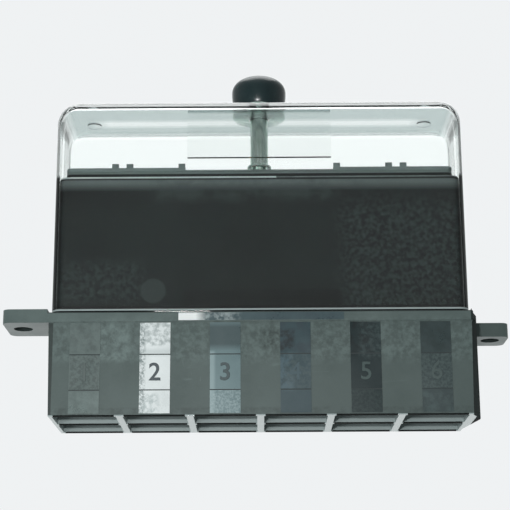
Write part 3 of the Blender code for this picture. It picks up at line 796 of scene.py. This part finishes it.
def knob_stem():
    """The plated stem: plain shank, stop flange, and a cut M5 thread below it."""
    low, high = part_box("knob_stem")
    shank, flange = 2.7 * MM, 3.65 * MM
    flange_low, flange_top = 78.1 * MM, 78.9 * MM
    crest, root, lead = 2.4 * MM, 2.0 * MM, 0.8 * MM
    thread_top, neck = flange_low - 0.3 * MM, root + 0.1 * MM
    ease, chamfer = 0.12 * MM, 0.4 * MM
    segments, steps, crest_flat = 48, 100, 1.25
    rows = [[(0, 0, low.z)]]
    for k in range(steps + 1):
        z = low.z + (thread_top - low.z) * k / steps
        lead_in = min(1.0, (z - low.z) / lead)
        row = []
        for i in range(segments):
            turn = i / segments
            phase = ((z - low.z) / lead - turn) % 1.0
            height = min(1.0, crest_flat * (1 - abs(2 * phase - 1)))
            radius = root + (crest - root) * height * lead_in
            row.append((radius * math.cos(2 * math.pi * turn), radius * math.sin(2 * math.pi * turn), z))
        rows.append(row)
    plain = [(neck, flange_low), (flange - ease, flange_low), (flange, flange_low + ease),
             (flange, flange_top - ease), (flange - ease, flange_top), (shank + ease, flange_top),
             (shank, flange_top + ease), (shank, high.z - chamfer), (shank - chamfer, high.z)]
    rows += [at_height(circle(radius, segments), z) for radius, z in plain]
    rows.append([(0, 0, high.z)])
    bm = bmesh.new()
    add_rows(bm, rows)
    new_object("stem", finish_mesh("stem", bm, 35), "knob", ZINC.material, ["knob_stem"])


def knob_washer():
    """The plain washer under the knob."""
    low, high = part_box("knob_washer")
    outer, hole, ease = high.x, 3.1 * MM, 0.15 * MM
    profile = [(hole, low.z + ease), (hole + ease, low.z), (outer - ease, low.z), (outer, low.z + ease),
               (outer, high.z - ease), (outer - ease, high.z), (hole + ease, high.z), (hole, high.z - ease)]
    new_object("washer", finish_mesh("washer", turned(profile), 50), "washer", ZINC.material,
               ["knob_washer"])


# Pieces that keep the frame's shape

def eased_copy(name, node, body, surface, width):
    """The node's solid with its edges rounded by width."""
    bm = frame_bmesh(node)
    ease_edges(bm, width)
    obj = new_object(name, finish_mesh(name, bm), body, surface.material, [node])
    weighted_normals(obj)


def small_parts():
    """The threaded insert, and each position's two blades and its fuse."""
    eased_copy("insert", "brass_insert", "root", BRASS, 0.1 * MM)
    for number in NUMBERS:
        for place in (f"front_{number}", f"rear_{number}"):
            eased_copy(f"blade_{place}", f"terminal_{place}", "root", TIN, 0.12 * MM)
        fuse = f"fuse_{number}"
        eased_copy(f"fuse_shell_{number}", f"fuse_body_{number}", fuse, FUSE_RED, 0.2 * MM)
        eased_copy(f"fuse_cap_{number}", f"fuse_window_{number}", fuse, FUSE_CLEAR, 0.15 * MM)
        eased_copy(f"fuse_link_{number}", f"fuse_element_{number}", fuse, TIN, 0.1 * MM)


# Stage, light and camera

# The floor's reach and drop, the lights and the camera are in metres.
FLOOR_REACH = 3.0
FLOOR_DROP = 0.0005
AIM = Vector((0, 0, 0.05))


def choose_shader(tree, factor, first, second, output):
    """Sends the first shader to the output where factor is 0, and the second where it is 1."""
    choice = tree.nodes.new("ShaderNodeMixShader")
    for index, socket in enumerate((factor, first, second)):
        tree.links.new(socket, choice.inputs[index])
    tree.links.new(choice.outputs[0], output.inputs["Surface"])


def stage():
    """A pale floor under the object. It is one-sided, because the camera looks up from below its level."""
    s = Surface("floor")
    s.color((0.80, 0.82, 0.825))
    s.roughness(0.9)
    nodes = s.tree.nodes
    underneath = nodes.new("ShaderNodeNewGeometry").outputs["Backfacing"]
    clear = nodes.new("ShaderNodeBsdfTransparent")
    choose_shader(s.tree, underneath, s.shader.outputs[0], clear.outputs[0], nodes["Material Output"])
    bm = bmesh.new()
    corners = ((-1, -1), (1, -1), (1, 1), (-1, 1))
    bm.faces.new([bm.verts.new((x * FLOOR_REACH, y * FLOOR_REACH, -FLOOR_DROP)) for x, y in corners])
    mesh = bpy.data.meshes.new("floor")
    bm.to_mesh(mesh)
    bm.free()
    mesh.materials.append(s.material)
    floor = bpy.data.objects.new("floor", mesh)
    bpy.context.scene.collection.objects.link(floor)
    floor.visible_shadow = False
    floor.visible_diffuse = False
    floor.visible_glossy = False


def area_light(name, place, size, power):
    """A rectangular light that faces the object."""
    light = bpy.data.lights.new(name, "AREA")
    light.shape = "RECTANGLE"
    light.size, light.size_y = size
    light.energy = power
    obj = bpy.data.objects.new(name, light)
    obj.location = place
    obj.rotation_euler = (AIM - Vector(place)).to_track_quat("-Z", "Y").to_euler()
    obj.visible_camera = False
    bpy.context.scene.collection.objects.link(obj)
    return obj


def lights():
    """A small flash by the camera, a soft light low on the left that draws no reflections, and one above."""
    area_light("flash", (-0.045, -0.43, -0.045), (0.03, 0.012), 0.82)
    left = area_light("left", (-0.42, -0.55, -0.10), (0.30, 0.30), 1.9)
    left.visible_glossy = False
    area_light("top", (0.0, 0.1, 0.8), (0.8, 0.6), 3.0)


BACKDROP = (0.865, 0.885, 0.895, 1)
ROOM_TINT = (0.96, 1.0, 1.0, 1)
# The room's brightness by direction, as (direction, level) stops along each axis. The three are multiplied.
ROOM_LEVELS = {
    "Y": ((-1.0, 0.16), (0.0, 0.62), (0.5, 0.85), (0.9, 1.1)),
    "X": ((-0.6, 0.55), (-0.25, 1.0), (0.25, 1.0), (0.6, 0.55)),
    "Z": ((0.4, 1.0), (0.9, 1.5)),
}


def room_level(tree, direction, stops):
    """The brightness that the stops give along one axis, where direction runs from -1 to 1."""
    share = tree.nodes.new("ShaderNodeMath")
    share.operation = "MULTIPLY_ADD"
    share.inputs[1].default_value = 0.5
    share.inputs[2].default_value = 0.5
    ramp = tree.nodes.new("ShaderNodeValToRGB")
    while len(ramp.color_ramp.elements) < len(stops):
        ramp.color_ramp.elements.new(0.5)
    for element, (position, level) in zip(ramp.color_ramp.elements, stops):
        element.position = position / 2 + 0.5
        element.color = (level, level, level, 1)
    tree.links.new(direction, share.inputs[0])
    tree.links.new(share.outputs[0], ramp.inputs[0])
    return ramp.outputs["Color"]


def world():
    """An even pale backdrop for the camera.

    The room that lights the object is bright behind and above it, and darker in front and to the sides, so
    that clear edges draw as lines.
    """
    made = bpy.data.worlds.new("studio")
    bpy.context.scene.world = made
    made.use_nodes = True
    tree = made.node_tree
    tree.nodes.clear()
    output = tree.nodes.new("ShaderNodeOutputWorld")
    backdrop = tree.nodes.new("ShaderNodeBackground")
    backdrop.inputs["Color"].default_value = BACKDROP
    room = tree.nodes.new("ShaderNodeBackground")
    room.inputs["Color"].default_value = ROOM_TINT
    seen = tree.nodes.new("ShaderNodeLightPath").outputs["Is Camera Ray"]
    choose_shader(tree, seen, room.outputs[0], backdrop.outputs[0], output)
    coordinates = tree.nodes.new("ShaderNodeTexCoord")
    parts = tree.nodes.new("ShaderNodeSeparateXYZ")
    tree.links.new(coordinates.outputs["Generated"], parts.inputs[0])
    level, *others = [room_level(tree, parts.outputs[axis], stops) for axis, stops in ROOM_LEVELS.items()]
    for other in others:
        product = tree.nodes.new("ShaderNodeMath")
        product.operation = "MULTIPLY"
        tree.links.new(level, product.inputs[0])
        tree.links.new(other, product.inputs[1])
        level = product.outputs[0]
    tree.links.new(level, room.inputs["Strength"])


CAMERA_PLACE = (0.0, -0.4335, -0.0717)
CAMERA_PITCH = math.radians(15.82)
CAMERA_YAW = math.radians(0.19)
CAMERA_ROLL = math.radians(-0.29)
LENS = 105.9
SENSOR_WIDTH = 36
MOST_BOUNCES = 40


def camera():
    """A long lens in front of the object and below its foot, looking up at it."""
    data = bpy.data.cameras.new("camera")
    data.lens = LENS
    data.sensor_width = SENSOR_WIDTH
    data.clip_start = 0.01
    data.clip_end = 20
    obj = bpy.data.objects.new("camera", data)
    turn = Matrix.Rotation(CAMERA_YAW, 4, "Z") @ Matrix.Rotation(math.pi / 2 + CAMERA_PITCH, 4, "X")
    obj.matrix_world = Matrix.Translation(CAMERA_PLACE) @ turn @ Matrix.Rotation(CAMERA_ROLL, 4, "Z")
    bpy.context.scene.collection.objects.link(obj)
    bpy.context.scene.camera = obj


def render_looks():
    """A plain view transform, and enough bounces for light to get through the cover's walls and edges."""
    scene = bpy.context.scene
    scene.view_settings.view_transform = "Standard"
    scene.view_settings.look = "None"
    scene.cycles.max_bounces = MOST_BOUNCES
    scene.cycles.transmission_bounces = MOST_BOUNCES
    scene.cycles.transparent_max_bounces = 16


camera()
base_housing()
base_bands()
rim_strip()
fuse_carrier()
clear_cover()
thumb_knob()
knob_stem()
knob_washer()
small_parts()
stage()
lights()
world()
render_looks()
